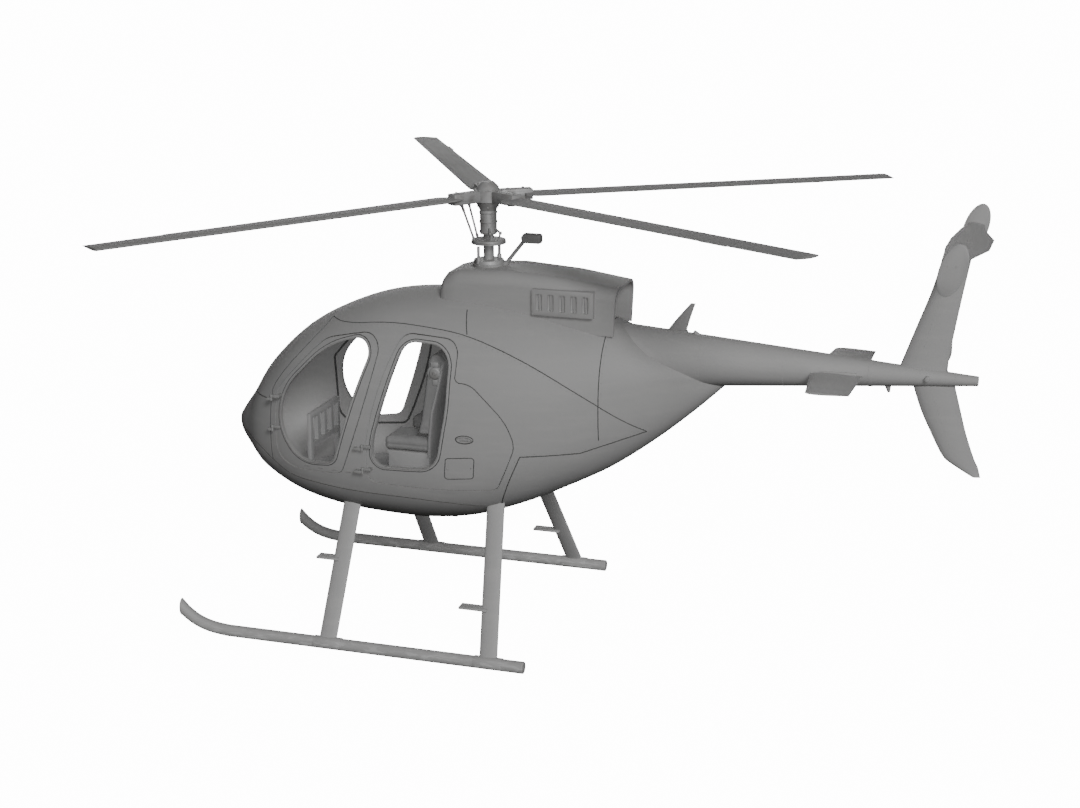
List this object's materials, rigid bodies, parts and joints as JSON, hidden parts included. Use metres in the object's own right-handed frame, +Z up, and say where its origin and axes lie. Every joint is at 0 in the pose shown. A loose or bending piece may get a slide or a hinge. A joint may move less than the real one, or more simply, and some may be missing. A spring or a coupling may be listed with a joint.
{
  "type": "light turbine helicopter on tall skids",
  "caption": "Light helicopter with an egg-shaped hollow cabin, opening side doors, an uneven main rotor, a finned tapered tail boom and tall skid gear.",
  "frame": {"origin": "middle of the object's box in X and Y, at the undersides of the skids", "axes": "+X forward to the nose, +Y to port, +Z up"},
  "size_m": [7.2901, 6.8888, 4.2635],
  "materials": {
    "airframe_paint": "satin mid-grey paint",
    "rotor_paint": "matte dark grey paint",
    "gear_paint": "satin grey paint",
    "cabin_trim": "matte dark grey",
    "seat_cover": "grey woven cover",
    "metal_parts": "dull grey metal"
  },
  "bodies": {
    "airframe": {"windshield_shell": "airframe_paint", "nose_shell": "airframe_paint", "belly_shell": "airframe_paint", "roof_shell": "airframe_paint", "cabin_side_left": "airframe_paint", "cabin_side_right": "airframe_paint", "boom_fairing": "airframe_paint", "engine_door": "airframe_paint", "cabin_floor": "cabin_trim", "aft_bulkhead": "cabin_trim", "engine_block": "metal_parts", "seat_left": "seat_cover", "seat_right": "seat_cover", "panel_frame": "cabin_trim", "mast_fairing": "airframe_paint", "side_vent_left": "airframe_paint", "side_vent_right": "airframe_paint", "mast_base": "metal_parts", "sensor_probe": "metal_parts", "tail_boom": "airframe_paint", "upper_fin": "airframe_paint", "ventral_fin": "airframe_paint", "stabiliser": "airframe_paint", "end_plate_left": "airframe_paint", "end_plate_right": "airframe_paint", "winglet_left": "airframe_paint", "winglet_right": "airframe_paint", "antenna_blade": "airframe_paint", "skid_left": "gear_paint", "skid_right": "gear_paint", "strut_front_left": "gear_paint", "strut_front_right": "gear_paint", "strut_rear_left": "gear_paint", "strut_rear_right": "gear_paint", "belly_fitting": "metal_parts"},
    "main_rotor": {"rotor_hub": "metal_parts", "swashplate": "metal_parts", "main_blade_1": "rotor_paint", "main_blade_2": "rotor_paint", "main_blade_3": "rotor_paint", "main_blade_4": "rotor_paint"},
    "tail_rotor_body": {"tail_rotor": "rotor_paint"},
    "front_door_port": {"door_front_left": "airframe_paint"},
    "front_door_starboard": {"door_front_right": "airframe_paint"},
    "rear_door_port": {"door_rear_left": "airframe_paint"},
    "rear_door_starboard": {"door_rear_right": "airframe_paint"}
  },
  "joints": [
    {"name": "main_rotor_spin", "type": "hinge", "parent": "airframe", "child": "main_rotor", "pos_m": [0.985, 0.1036, 3.53], "axis": [0.0087, 0, 1], "continuous": true},
    {"name": "tail_rotor_spin", "type": "hinge", "parent": "airframe", "child": "tail_rotor_body", "pos_m": [-3.26, -0.0161, 2.717], "axis": [0, -1, 0], "continuous": true},
    {"name": "front_door_port_hinge", "type": "hinge", "parent": "airframe", "child": "front_door_port", "pos_m": [2.91, 0.8886, 2.05], "axis": [0, 0, -1], "range_deg": [0, 75]},
    {"name": "front_door_starboard_hinge", "type": "hinge", "parent": "airframe", "child": "front_door_starboard", "pos_m": [2.91, -0.6814, 2.05], "axis": [0, 0, 1], "range_deg": [0, 75]},
    {"name": "rear_door_port_hinge", "type": "hinge", "parent": "airframe", "child": "rear_door_port", "pos_m": [1.915, 1.0736, 1.73], "axis": [0, 0, -1], "range_deg": [0, 75]},
    {"name": "rear_door_starboard_hinge", "type": "hinge", "parent": "airframe", "child": "rear_door_starboard", "pos_m": [1.915, -0.8664, 1.73], "axis": [0, 0, 1], "range_deg": [0, 75]}
  ]
}
